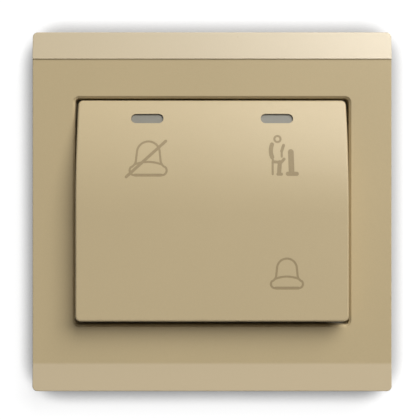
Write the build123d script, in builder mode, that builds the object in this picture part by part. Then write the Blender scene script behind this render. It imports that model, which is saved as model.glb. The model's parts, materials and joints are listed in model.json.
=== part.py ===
from build123d import *
from math import acos, cos, pi, radians, sin, sqrt, tan
import os

# Wall-mounted bell push with two indicator windows, in millimetres
# X is right, Z is up and the front faces -Y
# The wall is y = 0, the room is at negative y and the wall box at positive y
# The origin is midway between the two fixing screws

# Frame plate, sized round the pitch of the wall box's screws
fixing_pitch = 60.3
plate_margin = 25.7
plate_corner_radius = 1.2
plate_edge_radius = 0.2
plate_wall = 1.6
field_height = 8.0
top_strip_width = 6.45
top_strip_rise = 0.25
top_strip_fall = 0.6
bottom_strip_width = 6.6
bottom_strip_rise = 0.25
bottom_strip_blend = 20.0
opening_width = 66.7
opening_height = 55.3
opening_corner_radius = 1.5
opening_chamfer = 0.5
opening_chamfer_depth = 0.45
throat_depth = 3.4
throat_wall = 1.2
pry_notch_width = 8.0
pry_notch_depth = 1.4

# Snap tabs of the frame, in windows of the yoke's rim
tab_x = 24.0
tab_flex_gap = 0.9
tab_width = 7.0
tab_thickness = 1.2
nose_reach = 0.7
nose_height = 0.9
snap_gap = 0.1

# Key cover
key_side_gap = 0.8
key_top_gap = 0.55
key_bottom_gap = 1.35
key_rise = 4.7
key_face_radius = 78.0
key_wall = 1.5
key_corner_radius = 1.2
key_edge_radius = 0.5
key_skirt = 1.8
press_angle = 3.5

# Indicator windows, lenses and light guides
window_setback = 4.8
window_rise = 1.1
window_width = 7.7
window_height = 2.3
lens_gap = 0.04
lens_sunk = 0.45
lens_flange = 0.9
guide_width = 6.0
guide_height = 2.6
guide_collar = 0.8
guide_side_room = 1.3
guide_lamp_gap = 0.3

# Engraved pictograms
quiet_shift = 0.4
quiet_size = 8.0
service_shift = 0.6
service_size = 9.4
pictogram_drop = 9.5
bell_shift = 2.1
bell_rise = 11.4
bell_size = 6.9
engraving_depth = 0.12
ink_sunk = 0.02
fine_stroke = 0.5
stroke = 0.7
bold_stroke = 1.0
heavy_stroke = 1.35

# Key carrier and its pivot
carrier_setback = 1.4
carrier_thickness = 1.6
carrier_overhang = 0.5
carrier_top_gap = 0.4
carrier_bottom_margin = 2.5
pivot_inset = 4.0
pivot_setback = 0.6
pin_radius = 1.0
pin_gap = 0.05
ear_radius = 2.2
ear_thickness = 1.9
lug_thickness = 2.0
lug_gap = 0.2
upper_clip_z = 10.0
lower_clip_z = -8.0
clip_width = 5.0
clip_thickness = 1.2
clip_overlap = 0.4
stand_off_radius = 1.5
stand_off_x = 14.0
stand_off_z = 14.0

# Mounting yoke and fixing screws
yoke_plate = 1.8
yoke_rim_height = 4.2
yoke_rim_wall = 1.4
slot_length = 6.4
slot_width = 4.4
fixing_thread_radius = 2.0
fixing_neck_radius = 1.7
fixing_length = 25.0
fixing_head_radius = 3.8
fixing_head_height = 2.4
fixing_head_crown = 0.9
cross_length = 4.4
cross_width = 0.9
cross_depth = 1.2

# Switch housing
module_screw_gap = 3.65
module_key_margin = 0.4
platform_step = 2.0
module_gap = 0.3
cover_step = 0.2
cover_plate = 1.2
base_wall = 1.6
base_floor = 2.0
base_corner_radius = 1.5
base_edge_radius = 0.8
label_width = 26.0
label_height = 12.0
label_corner_radius = 1.0
label_depth = 0.4
gauge_drop = 11.0
gauge_width = 1.4
pocket_setback = 0.6
housing_ear_width = 6.0
housing_ear_length = 6.5
housing_ear_inset = 1.5
housing_boss_radius = 2.5
housing_screw_radius = 1.45
housing_head_radius = 2.6
housing_head_height = 1.8
housing_head_crown = 0.6
housing_screw_tip_gap = 0.4
small_cross_length = 3.0
small_cross_width = 0.6
small_cross_depth = 1.0
housing_ear_thickness = 4.0
screw_gap = 0.05
clear_gap = 0.15

# Return springs
spring_x = 13.0
spring_wall_gap = 2.4
spring_radius = 2.25
spring_wire_radius = 0.25
spring_turns = 6
spring_cup_radius = 3.0
spring_cup_wall = 0.7
spring_seat_y = 6.0
spigot_radius = 1.5
spigot_height = 1.2

# Stops of the key's travel
stop_wall_gap = 0.4
stop_drop = 0.7
stop_width = 3.0
stop_thickness = 1.5
stop_nose = 1.4
stop_nose_height = 1.2
stop_gap = 0.1
stop_slot_gap = 0.25
stop_swing_room = 1.0
bump_x = 5.0
bump_radius = 1.2

# Plunger and contacts
plunger_rise = 7.3
plunger_radius = 2.0
plunger_head_radius = 2.9
plunger_head_height = 0.6
plunger_tail_radius = 1.2
plunger_tail_length = 1.2
push_gap = 0.25
plunger_travel_room = 1.4
guide_sleeve_wall = 1.2
guide_sleeve_y = 3.0
leaf_thickness = 0.4
leaf_width = 5.0
leaf_foot_length = 4.0
leaf_foot_gap = 1.9
leaf_overhang = 2.5
rivet_setback = 1.6
rivet_radius = 0.8
rivet_head_radius = 1.3
rivet_head_height = 0.6
contact_x = 8.0
contact_radius = 1.5
contact_height = 0.8
strip_thickness = 1.0
contact_gap_pressed = 0.2

# Pillar terminals
lamp_terminal_pitch = 14.0
bell_terminal_pitch = 20.0
terminal_width = 7.0
terminal_length = 9.2
terminal_depth = 9.9
wire_bore_radius = 1.7
wire_bore_setback = 4.0
wire_entry_radius = 2.1
pocket_wall = 1.0
clamp_screw_radius = 1.55
clamp_tip_gap = 0.2
clamp_head_radius = 2.2
clamp_head_height = 1.5
clamp_access_radius = 2.7
screw_slot_width = 0.8
screw_slot_depth = 0.8

# Lamp board
board_front_y = 7.0
board_thickness = 1.2
board_side_gap = 1.9
board_top_gap = 0.6
board_height = 20.8
board_screw_x = 8.0
board_screw_drop = 12.8
board_screw_radius = 1.0
board_screw_reach = 3.5
board_screw_head_radius = 1.9
board_screw_head_height = 1.3
board_post_radius = 2.4
led_radius = 1.5
led_length = 4.4
led_flange_radius = 1.9
led_flange_height = 0.8
led_lead_radius = 0.25
led_lead_pitch = 2.54
lead_radius = 0.3
lead_reach = 1.0
lead_stub = 0.5
resistor_inset = 10.0
resistor_rise = 3.5
resistor_radius = 1.5
resistor_length = 9.0
diode_inset = 5.0
diode_rise = 8.5
diode_radius = 1.2
diode_length = 5.0
board_pin_radius = 0.6
board_pin_inset = 1.95

# Outlines that several pieces share
plate_half = (fixing_pitch + plate_margin) / 2
throat_width = opening_width - 2 * opening_chamfer
throat_height = opening_height - 2 * opening_chamfer
key_half_width = throat_width / 2 - key_side_gap
key_top = throat_height / 2 - key_top_gap
key_bottom = -throat_height / 2 + key_bottom_gap
rim_half = plate_half - plate_wall - tab_flex_gap - tab_thickness - snap_gap
module_half_width = fixing_pitch / 2 - fixing_thread_radius - module_screw_gap
base_half_height = key_top + module_key_margin
platform_half_height = base_half_height - platform_step
flange_half_height = base_half_height + housing_ear_length
base_inner_width = module_half_width - base_wall
base_inner_height = base_half_height - base_wall
housing_screw_x = module_half_width - housing_ear_width / 2 - housing_ear_inset
housing_screw_z = flange_half_height - housing_ear_width / 2

# The key's pivot, and the pieces placed from it and from the housing
lug_outer = module_half_width - lug_gap
lug_inner = lug_outer - lug_thickness
ear_outer = lug_inner - lug_gap
ear_inner = ear_outer - ear_thickness
pivot_z = platform_half_height - pivot_inset
carrier_half_width = module_half_width + carrier_overhang
carrier_top = platform_half_height - carrier_top_gap
window_x = ear_inner - window_setback
window_z = pivot_z + window_rise
spring_z = spring_wall_gap + spring_cup_radius + spring_cup_wall - base_inner_height
stop_x = base_inner_width - stop_wall_gap - stop_width / 2
stop_z = spring_z - stop_drop
carrier_bottom = stop_z - carrier_bottom_margin
plunger_z = spring_z + plunger_rise
terminal_outer_z = base_inner_height - clear_gap
terminal_z = terminal_outer_z - terminal_length / 2
lamp_terminal_x = (-lamp_terminal_pitch, 0, lamp_terminal_pitch)
bell_terminal_x = (-bell_terminal_pitch / 2, bell_terminal_pitch / 2)
board_half_width = base_inner_width - board_side_gap
board_top = base_inner_height - board_top_gap
board_bottom = board_top - board_height
board_screw_z = board_top - board_screw_drop
board_pin_z = terminal_outer_z - terminal_length + board_pin_inset
resistor_place = (board_half_width - resistor_inset, board_bottom + resistor_rise)
diode_place = (board_half_width - diode_inset, board_bottom + diode_rise)
foot_x = leaf_foot_gap - base_inner_width
leaf_fold_x = foot_x + leaf_foot_length
rivet_x = leaf_fold_x - rivet_setback

# Levels along Y, from the field of the frame back to the rear of the housing
field_y = -field_height
key_front_y = field_y - key_rise
skirt_y = field_y + key_skirt
throat_y = field_y + throat_depth
carrier_front_y = field_y + carrier_setback
carrier_back_y = carrier_front_y + carrier_thickness
pivot_y = carrier_back_y + pivot_setback
yoke_front_y = -yoke_plate
cover_front_y = yoke_front_y + cover_step
cover_back_y = cover_plate
board_back_y = board_front_y + board_thickness
plunger_shoulder_y = guide_sleeve_y + plunger_travel_room
plunger_tip_y = plunger_shoulder_y + plunger_tail_length
leaf_front_y = plunger_tip_y + push_gap
leaf_back_y = leaf_front_y + leaf_thickness
leaf_turn = (pivot_z - plunger_z) * radians(press_angle) / -leaf_fold_x
contact_travel = (contact_x - leaf_fold_x) * sin(leaf_turn)
fixed_contact_y = leaf_back_y + contact_height + contact_travel + contact_gap_pressed
strip_front_y = fixed_contact_y + contact_height
terminal_front_y = strip_front_y + strip_thickness
terminal_back_y = terminal_front_y + terminal_depth
wire_bore_y = terminal_front_y + wire_bore_setback
base_floor_y = terminal_back_y + snap_gap
base_back_y = base_floor_y + base_floor

# The key's face is an arc that leans back to its top edge and runs into a flat lower half
face_slope = acos(1 - key_rise / key_face_radius)
arc_y = key_front_y + key_face_radius
arc_z = key_top - key_face_radius * sin(face_slope)


def facing(y):
    """A sketch plane parallel to the wall, as seen from the room."""
    return Plane(origin=(0, y, 0), x_dir=(1, 0, 0), z_dir=(0, -1, 0))


def bar(x, y, z, mode=Mode.ADD):
    """A block between two x, two y and two z values."""
    with Locations(((x[0] + x[1]) / 2, (y[0] + y[1]) / 2, (z[0] + z[1]) / 2)):
        Box(abs(x[1] - x[0]), abs(y[1] - y[0]), abs(z[1] - z[0]), mode=mode)


def rod(x, z, radius, y, mode=Mode.ADD):
    """A round rod or hole along Y between two y values."""
    with Locations((x, (y[0] + y[1]) / 2, z)):
        Cylinder(radius, abs(y[1] - y[0]), rotation=(90, 0, 0), mode=mode)


def cross_rod(x, y, z, radius, mode=Mode.ADD):
    """A round rod or hole along X between two x values."""
    with Locations(((x[0] + x[1]) / 2, y, z)):
        Cylinder(radius, abs(x[1] - x[0]), rotation=(0, 90, 0), mode=mode)


def face_y(z, sunk=0.0):
    """The level of the key's face at a height z, or of a surface sunk below it."""
    if z <= arc_z:
        return key_front_y + sunk
    radius = key_face_radius - sunk
    return arc_y - sqrt(radius**2 - (z - arc_z) ** 2)


def key_block(inset, sunk, back_y):
    """The key's outer shape, drawn in at its edges and sunk at its face."""
    low = key_bottom + inset
    high = key_top - inset
    middle = (arc_z + high) / 2
    with BuildPart() as block:
        with BuildSketch(Plane.YZ):
            with BuildLine():
                Polyline((face_y(high, sunk), high), (back_y, high), (back_y, low), (face_y(low, sunk), low))
                Line((face_y(low, sunk), low), (face_y(low, sunk), arc_z))
                ThreePointArc(
                    (face_y(arc_z, sunk), arc_z),
                    (face_y(middle, sunk), middle),
                    (face_y(high, sunk), high),
                )
            make_face()
        extrude(amount=key_half_width, both=True)
        with BuildSketch(facing(back_y)):
            with Locations((0, (low + high) / 2)):
                width = 2 * (key_half_width - inset)
                RectangleRounded(width, high - low, max(key_corner_radius - inset, 0.3))
        extrude(amount=back_y - key_front_y + key_wall, mode=Mode.INTERSECT)
    return block.part


def engraved(strokes):
    """The paint that fills a pictogram's engraving, and the cutter of that engraving."""
    reach = key_front_y - 1
    floor = key_block(0, engraving_depth, carrier_front_y)
    top = key_block(0, ink_sunk, carrier_front_y)
    cutters = []
    for lower, upper in ((floor, None), (floor, top)):
        with BuildPart() as cutter:
            with BuildSketch(facing(reach)):
                for shape, points, width in strokes:
                    with BuildLine() as line:
                        if shape == "ring":
                            CenterArc(*points, 0, 360)
                        elif shape == "arc":
                            ThreePointArc(*points)
                        else:
                            Polyline(*points)
                    trace(line.line, line_width=width)
                    if shape != "ring":
                        with Locations(points[0], points[-1]):
                            Circle(width / 2)
            extrude(amount=reach - carrier_front_y)
            add(lower, mode=Mode.SUBTRACT)
            if upper:
                add(upper, mode=Mode.INTERSECT)
        cutters.append(cutter.part)
    return cutters


def save(part, name):
    """Labels a finished piece and writes it to its own file."""
    part.label = name
    export_step(part, f"parts/{name}.step")


def is_brim(edge):
    """Whether an edge runs round the front of the frame's outline."""
    place = edge.center()
    outside = max(abs(place.X), abs(place.Z)) > plate_half - plate_corner_radius
    along_wall = abs((edge.position_at(1) - edge.position_at(0)).Y) < plate_edge_radius + top_strip_fall
    return outside and along_wall and place.Y < -field_height / 2 and edge.length > 1.5 * top_strip_rise


# Frame plate: a shallow shell whose top strip leans back and whose bottom strip leans forward
strip_z = plate_half - top_strip_width
lip_z = -plate_half + bottom_strip_width
crest_y = field_y - top_strip_rise
top_edge_y = crest_y + top_strip_fall
lip_y = field_y - bottom_strip_rise
with BuildPart() as frame_plate:
    with BuildSketch(Plane.YZ) as section:
        with BuildLine():
            Polyline(
                (0, -plate_half),
                (lip_y, -plate_half),
                (field_y, lip_z),
                (field_y, strip_z),
                (crest_y, strip_z),
                (top_edge_y, plate_half),
                (0, plate_half),
                close=True,
            )
        make_face()
        crease = section.vertices().sort_by_distance((field_y, lip_z))[0]
        fillet(crease, radius=bottom_strip_blend)
    extrude(amount=plate_half, both=True)
    with BuildSketch(facing(0)):
        RectangleRounded(2 * plate_half, 2 * plate_half, plate_corner_radius)
    extrude(amount=field_height + top_strip_rise, mode=Mode.INTERSECT)
    brim = [e for e in frame_plate.edges() if is_brim(e)]
    fillet(brim, radius=plate_edge_radius)
    cavity_half = plate_half - plate_wall
    with BuildSketch(Plane.YZ):
        with BuildLine():
            Polyline(
                (0, -cavity_half),
                (field_y + plate_wall, -cavity_half),
                (field_y + plate_wall, strip_z),
                (top_edge_y + plate_wall, cavity_half),
                (0, cavity_half),
                close=True,
            )
        make_face()
    extrude(amount=cavity_half, both=True, mode=Mode.SUBTRACT)
    throat_corner = opening_corner_radius - opening_chamfer
    with BuildSketch(facing(throat_y)):
        rim_width = throat_width + 2 * throat_wall
        rim_height = throat_height + 2 * throat_wall
        RectangleRounded(rim_width, rim_height, throat_corner + throat_wall)
    extrude(amount=throat_depth - plate_wall / 2)
    with BuildSketch(facing(throat_y)):
        RectangleRounded(throat_width, throat_height, throat_corner)
    extrude(amount=throat_depth, mode=Mode.SUBTRACT)
    with BuildSketch(facing(field_y)):
        RectangleRounded(opening_width, opening_height, opening_corner_radius)
    with BuildSketch(facing(field_y + opening_chamfer_depth)):
        RectangleRounded(throat_width, throat_height, throat_corner)
    loft(mode=Mode.SUBTRACT)
    # Snap tabs with their noses
    tab_inner = rim_half + snap_gap
    tab_end_y = yoke_front_y - snap_gap
    for side in (1, -1):
        for x in (-tab_x, tab_x):
            across = (x - tab_width / 2, x + tab_width / 2)
            tab_z = (side * tab_inner, side * (tab_inner + tab_thickness))
            bar(across, (top_edge_y + plate_wall / 2, tab_end_y), tab_z)
            nose_z = (side * tab_inner, side * (tab_inner - nose_reach))
            bar(across, (tab_end_y - nose_height, tab_end_y), nose_z)
    bar(
        (-pry_notch_width / 2, pry_notch_width / 2),
        (-pry_notch_depth, 0),
        (-plate_half, -cavity_half),
        mode=Mode.SUBTRACT,
    )
save(frame_plate.part, "frame_plate")

# Mounting yoke: a tray with a rim, a window for the switch housing and two fixing slots
with BuildPart() as mounting_yoke:
    bar((-rim_half, rim_half), (yoke_front_y, 0), (-rim_half, rim_half))
    bar((-rim_half, rim_half), (-yoke_rim_height, yoke_front_y), (-rim_half, rim_half))
    rim_inner = rim_half - yoke_rim_wall
    inside = (-rim_inner, rim_inner)
    bar(inside, (-yoke_rim_height, yoke_front_y), inside, mode=Mode.SUBTRACT)
    fillet(mounting_yoke.edges().filter_by(Axis.Y), radius=0.5)
    for x in (-housing_screw_x, housing_screw_x):
        for z in (-housing_screw_z, housing_screw_z):
            rod(x, z, housing_boss_radius, (-yoke_rim_height, 0))
            rod(x, z, housing_screw_radius + screw_gap, (-yoke_rim_height, 0), mode=Mode.SUBTRACT)
    half_x = module_half_width + module_gap
    half_z = platform_half_height + module_gap
    bar((-half_x, half_x), (yoke_front_y, 0), (-half_z, half_z), mode=Mode.SUBTRACT)
    with BuildSketch(facing(0)):
        with GridLocations(fixing_pitch, 0, 2, 1):
            SlotOverall(slot_length, slot_width)
    extrude(amount=yoke_plate, mode=Mode.SUBTRACT)
    window_y = (tab_end_y - nose_height - snap_gap, yoke_front_y)
    for side in (1, -1):
        for x in (-tab_x, tab_x):
            across = (x - tab_width / 2 - snap_gap, x + tab_width / 2 + snap_gap)
            bar(across, window_y, (side * rim_half, side * rim_inner), mode=Mode.SUBTRACT)
save(mounting_yoke.part, "mounting_yoke")

# Fixing screws: two pan heads on the yoke, with threads that enter the wall box
with BuildPart() as fixing_screws:
    for x in (-fixing_pitch / 2, fixing_pitch / 2):
        head_y = yoke_front_y - fixing_head_height
        rod(x, 0, fixing_head_radius, (head_y, yoke_front_y))
        rod(x, 0, fixing_neck_radius, (yoke_front_y, module_gap))
        rod(x, 0, fixing_thread_radius, (module_gap, yoke_front_y + fixing_length))
    crown = fixing_screws.edges().filter_by(GeomType.CIRCLE).group_by(Axis.Y)[0]
    fillet(crown, radius=fixing_head_crown)
    recess_y = (head_y, head_y + cross_depth)
    arm = (cross_length / 2, cross_width / 2)
    for x in (-fixing_pitch / 2, fixing_pitch / 2):
        for along, across in (arm, arm[::-1]):
            bar((x - along, x + along), recess_y, (-across, across), mode=Mode.SUBTRACT)
save(fixing_screws.part, "fixing_screws")

# Pictograms, drawn as strokes in shares of the figure's height
bell_figure = [
    ("arc", ((-0.33, 0.22), (0, 0.49), (0.33, 0.22)), fine_stroke),
    ("line", ((-0.33, 0.22), (-0.36, -0.06)), fine_stroke),
    ("line", ((0.33, 0.22), (0.36, -0.06)), fine_stroke),
    ("arc", ((-0.36, -0.06), (-0.4, -0.19), (-0.51, -0.28)), fine_stroke),
    ("arc", ((0.36, -0.06), (0.4, -0.19), (0.51, -0.28)), fine_stroke),
    ("arc", ((-0.41, -0.2), (0, -0.12), (0.41, -0.2)), fine_stroke),
    ("arc", ((-0.51, -0.28), (-0.53, -0.43), (-0.38, -0.51)), fine_stroke),
    ("arc", ((0.51, -0.28), (0.53, -0.43), (0.38, -0.51)), fine_stroke),
    ("line", ((-0.38, -0.51), (0.38, -0.51)), stroke),
]
slash = [("line", ((-0.64, -0.56), (0.51, 0.5)), stroke)]
cleaner_figure = [
    ("ring", ((-0.06, 0.48), 0.077), fine_stroke),
    ("arc", ((-0.2, 0.34), (-0.23, 0.18), (-0.2, 0.02)), bold_stroke),
    ("line", ((-0.2, 0.02), (-0.17, -0.1)), fine_stroke),
    ("line", ((0.09, 0.32), (0.04, 0.17)), stroke),
    ("line", ((0.04, 0.17), (0.04, 0.03)), fine_stroke),
    ("line", ((0.1, -0.03), (0.03, -0.11)), stroke),
    ("line", ((-0.17, -0.1), (0.03, -0.11)), stroke),
    ("line", ((-0.19, -0.1), (-0.19, -0.41)), fine_stroke),
    ("line", ((-0.01, -0.11), (-0.03, -0.38)), bold_stroke),
    ("line", ((-0.06, -0.41), (0.03, -0.41)), stroke),
    ("line", ((0.27, 0.15), (0.28, -0.32)), heavy_stroke),
    ("line", ((0.19, -0.4), (0.41, -0.4)), bold_stroke),
]


def placed(figure, x, z, size):
    """A figure's strokes at their size and place on the key."""
    strokes = []
    for shape, points, width in figure:
        spots = points[:1] if shape == "ring" else points
        spots = [(x + px * size, z + pz * size) for px, pz in spots]
        if shape == "ring":
            spots.append(points[1] * size)
        strokes.append((shape, spots, width))
    return strokes


pictogram_z = window_z - pictogram_drop
quiet_strokes = placed(bell_figure + slash, quiet_shift - window_x, pictogram_z, quiet_size)
service_strokes = placed(cleaner_figure, window_x + service_shift, pictogram_z, service_size)
bell_strokes = placed(bell_figure, window_x + bell_shift, key_bottom + bell_rise, bell_size)
quiet_cut, quiet_ink = engraved(quiet_strokes)
service_cut, service_ink = engraved(service_strokes)
bell_cut, bell_ink = engraved(bell_strokes)
save(quiet_ink, "pictogram_quiet")
save(service_ink, "pictogram_service")
save(bell_ink, "pictogram_bell")

# Key cover: a curved shell with window slots, stand-offs and clips for the carrier
key_outer = key_block(0, 0, skirt_y)
key_inner = key_block(key_wall, key_wall, skirt_y)
with BuildPart() as key_cover:
    add(key_outer)
    fronts = key_cover.faces().filter_by(lambda f: f.normal_at().Y < -0.5)
    shared = [e for e in fronts[0].edges() if len(fronts) > 1 and e in fronts[1].edges()]
    rim = [e for f in fronts for e in f.edges() if e not in shared]
    fillet(rim, radius=key_edge_radius)
    add(key_inner, mode=Mode.SUBTRACT)
    for x in (-stand_off_x, stand_off_x):
        for z in (-stand_off_z, stand_off_z):
            rod(x, z, stand_off_radius, (face_y(z, key_wall / 2), carrier_front_y))
    for side in (1, -1):
        for z in (upper_clip_z, lower_clip_z):
            height = (z - clip_width / 2, z + clip_width / 2)
            arm_x = carrier_half_width + module_gap
            arm = (side * arm_x, side * (arm_x + clip_thickness))
            bar(arm, (face_y(z, key_wall / 2), carrier_back_y + nose_height), height)
            nose = (side * arm_x, side * (carrier_half_width - clip_overlap))
            bar(nose, (carrier_back_y + screw_gap, carrier_back_y + nose_height), height)
    with BuildSketch(facing(skirt_y)):
        with Locations((-window_x, window_z), (window_x, window_z)):
            SlotOverall(window_width, window_height)
    extrude(amount=key_rise + key_skirt, mode=Mode.SUBTRACT)
    for cut in (quiet_cut, service_cut, bell_cut):
        add(cut, mode=Mode.SUBTRACT)
save(key_cover.part, "key_cover")

# Indicator lenses: a slot-shaped body that follows the face, with a flange behind the shell
lens_face = key_block(0, lens_sunk, carrier_front_y)
flange_face = key_block(0, key_wall + lens_gap, carrier_front_y)
lens_back_y = carrier_front_y - module_gap
for name, x in (("left", -window_x), ("right", window_x)):
    with BuildPart() as lens:
        with BuildSketch(facing(lens_back_y)):
            with Locations((x, window_z)):
                SlotOverall(window_width - 2 * lens_gap, window_height - 2 * lens_gap)
        extrude(amount=lens_back_y - key_front_y)
        add(lens_face, mode=Mode.INTERSECT)
    with BuildPart() as collar:
        with BuildSketch(facing(lens_back_y)):
            with Locations((x, window_z)):
                SlotOverall(window_width + 2 * lens_flange, window_height + 2 * lens_flange)
        extrude(amount=lens_back_y - key_front_y)
        add(flange_face, mode=Mode.INTERSECT)
    with BuildPart() as indicator_lens:
        add(lens.part)
        add(collar.part)
    save(indicator_lens.part, f"indicator_lens_{name}")

# Key carrier: a plate on two ears, with spring spigots, stop hooks and stop bumps
drop_at_stop = (pivot_z - stop_z) * sin(radians(press_angle))
bump_y = cover_front_y - stop_gap - drop_at_stop
with BuildPart() as key_carrier:
    plate_y = (carrier_front_y, carrier_back_y)
    bar((-carrier_half_width, carrier_half_width), plate_y, (carrier_bottom, carrier_top))
    for side in (1, -1):
        lug_space = (side * ear_outer, side * carrier_half_width)
        bar(lug_space, plate_y, (pivot_z - 2 * ear_radius, carrier_top), mode=Mode.SUBTRACT)
    fillet(key_carrier.edges().filter_by(Axis.Y), radius=0.6)
    for side in (1, -1):
        light_half = guide_width / 2 + guide_side_room
        light_x = (side * window_x - light_half, side * window_x + light_half)
        light_z = (window_z - guide_height / 2 - guide_side_room, carrier_top)
        bar(light_x, plate_y, light_z, mode=Mode.SUBTRACT)
        ear_x = (side * ear_inner, side * ear_outer)
        bar(ear_x, (carrier_front_y, pivot_y), (pivot_z - ear_radius, pivot_z + ear_radius))
        cross_rod(ear_x, pivot_y, pivot_z, ear_radius)
        pin_x = (side * (ear_inner - 2 * lug_gap), side * ear_outer)
        cross_rod(pin_x, pivot_y, pivot_z, pin_radius + pin_gap, mode=Mode.SUBTRACT)
        rod(side * spring_x, spring_z, spigot_radius, (carrier_back_y, carrier_back_y + spigot_height))
        rod(side * bump_x, stop_z, bump_radius, (carrier_back_y, bump_y))
        arm_x = (side * stop_x - stop_width / 2, side * stop_x + stop_width / 2)
        arm_z = (stop_z - stop_thickness / 2, stop_z + stop_thickness / 2)
        nose_front_y = cover_back_y + stop_gap
        nose_back_y = nose_front_y + stop_nose_height
        bar(arm_x, (carrier_back_y, nose_back_y), arm_z)
        bar(arm_x, (nose_front_y, nose_back_y), (arm_z[0] - stop_nose, arm_z[0]))
save(key_carrier.part, "key_carrier")

# Pivot pins: fixed in the cover's lugs, with the carrier's ears turning on them
for name, side in (("left", -1), ("right", 1)):
    with BuildPart() as pivot_pin:
        cross_rod((side * (ear_inner - lug_gap), side * lug_outer), pivot_y, pivot_z, pin_radius)
        chamfer(pivot_pin.edges().filter_by(GeomType.CIRCLE), length=0.2)
    save(pivot_pin.part, f"pivot_pin_{name}")

# Module cover: flange behind the yoke, platform in its window, lugs, cups and guides
sleeve_radius = plunger_radius + guide_sleeve_wall
cup_back_y = spring_seat_y + cover_plate
with BuildPart() as module_cover:
    half_w = module_half_width
    bar((-half_w, half_w), (0, cover_back_y), (-flange_half_height, flange_half_height))
    bar((-half_w, half_w), (cover_front_y, 0), (-platform_half_height, platform_half_height))
    for side in (1, -1):
        lug_x = (side * lug_inner, side * lug_outer)
        bar(lug_x, (pivot_y, 0), (pivot_z - ear_radius, pivot_z + ear_radius))
        cross_rod(lug_x, pivot_y, pivot_z, ear_radius)
        cross_rod(lug_x, pivot_y, pivot_z, pin_radius, mode=Mode.SUBTRACT)
        rod(side * spring_x, spring_z, spring_cup_radius + spring_cup_wall, (0, cup_back_y))
        rod(side * spring_x, spring_z, spring_cup_radius, (cover_front_y, spring_seat_y), mode=Mode.SUBTRACT)
        rod(side * board_screw_x, board_screw_z, board_post_radius, (0, board_front_y))
        pilot_y = (board_front_y - board_screw_reach - stop_gap, board_front_y)
        rod(side * board_screw_x, board_screw_z, board_screw_radius + screw_gap, pilot_y, mode=Mode.SUBTRACT)
        hook_half = stop_width / 2 + stop_slot_gap
        hook_x = (side * stop_x - hook_half, side * stop_x + hook_half)
        hook_low = stop_z - stop_thickness / 2 - stop_slot_gap
        hook_z = (hook_low, stop_z + stop_thickness / 2 + stop_swing_room)
        bar(hook_x, (cover_front_y, cover_back_y), hook_z, mode=Mode.SUBTRACT)
        for z in (-housing_screw_z, housing_screw_z):
            hole_radius = housing_screw_radius + clear_gap
            rod(side * housing_screw_x, z, hole_radius, (0, cover_back_y), mode=Mode.SUBTRACT)
        light_x = (side * window_x - guide_width / 2 - snap_gap, side * window_x + guide_width / 2 + snap_gap)
        light_z = (window_z - guide_height / 2 - snap_gap, window_z + guide_height / 2 + snap_gap)
        bar(light_x, (cover_front_y, cover_back_y), light_z, mode=Mode.SUBTRACT)
    rod(0, plunger_z, sleeve_radius, (0, guide_sleeve_y))
    rod(0, plunger_z, plunger_radius + pin_gap, (cover_front_y, guide_sleeve_y), mode=Mode.SUBTRACT)
save(module_cover.part, "module_cover")

# Light guides: clear bars from just behind each lens to just ahead of each lamp
guide_front_y = carrier_front_y + module_gap
led_tip_y = board_front_y - led_length
guide_back_y = led_tip_y - guide_lamp_gap
for name, x in (("left", -window_x), ("right", window_x)):
    with BuildPart() as light_guide:
        half = guide_width / 2
        guide_z = (window_z - guide_height / 2, window_z + guide_height / 2)
        bar((x - half, x + half), (guide_front_y, guide_back_y), guide_z)
        fillet(light_guide.edges().filter_by(Axis.Y), radius=0.4)
        flange = half + guide_collar
        flange_z = guide_height / 2 + guide_collar
        collar_y = (cover_back_y + screw_gap, guide_back_y)
        bar((x - flange, x + flange), collar_y, (window_z - flange_z, window_z + flange_z))
    save(light_guide.part, f"light_guide_{name}")

# Lamps: a domed body with a flange that stands on the board, and two leads through it
led_seat_y = board_front_y - led_flange_height
for name, x in (("left", -window_x), ("right", window_x)):
    with BuildPart() as led:
        rod(x, window_z, led_radius, (led_tip_y + led_radius, board_front_y))
        with Locations((x, led_tip_y + led_radius, window_z)):
            Sphere(led_radius)
        rod(x, window_z, led_flange_radius, (led_seat_y, board_front_y))
        for lead in (-led_lead_pitch / 2, led_lead_pitch / 2):
            rod(x + lead, window_z, led_lead_radius, (board_front_y, board_back_y + lead_stub))
    save(led.part, f"led_{name}")


def wired_body(x, z, radius, length):
    """A round component lying behind the board, with both leads bent through it."""
    y = board_back_y + radius + snap_gap
    cross_rod((x - length / 2, x + length / 2), y, z, radius)
    reach = length / 2 + lead_reach
    cross_rod((x - reach, x + reach), y, z, lead_radius)
    for end in (x - reach, x + reach):
        rod(end, z, lead_radius, (board_front_y - lead_stub, y))
        with Locations((end, y, z)):
            Sphere(lead_radius)


# Dropper resistors and rectifier diodes
with BuildPart() as dropper_resistors:
    for side in (1, -1):
        wired_body(side * resistor_place[0], resistor_place[1], resistor_radius, resistor_length)
save(dropper_resistors.part, "dropper_resistors")
with BuildPart() as rectifier_diodes:
    for side in (1, -1):
        wired_body(side * diode_place[0], diode_place[1], diode_radius, diode_length)
save(rectifier_diodes.part, "rectifier_diodes")

# Pins between the lamp terminals and the board
with BuildPart() as board_pins:
    for x in lamp_terminal_x:
        rod(x, board_pin_z, board_pin_radius, (board_front_y - lead_stub, terminal_front_y))
save(board_pins.part, "board_pins")

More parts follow.
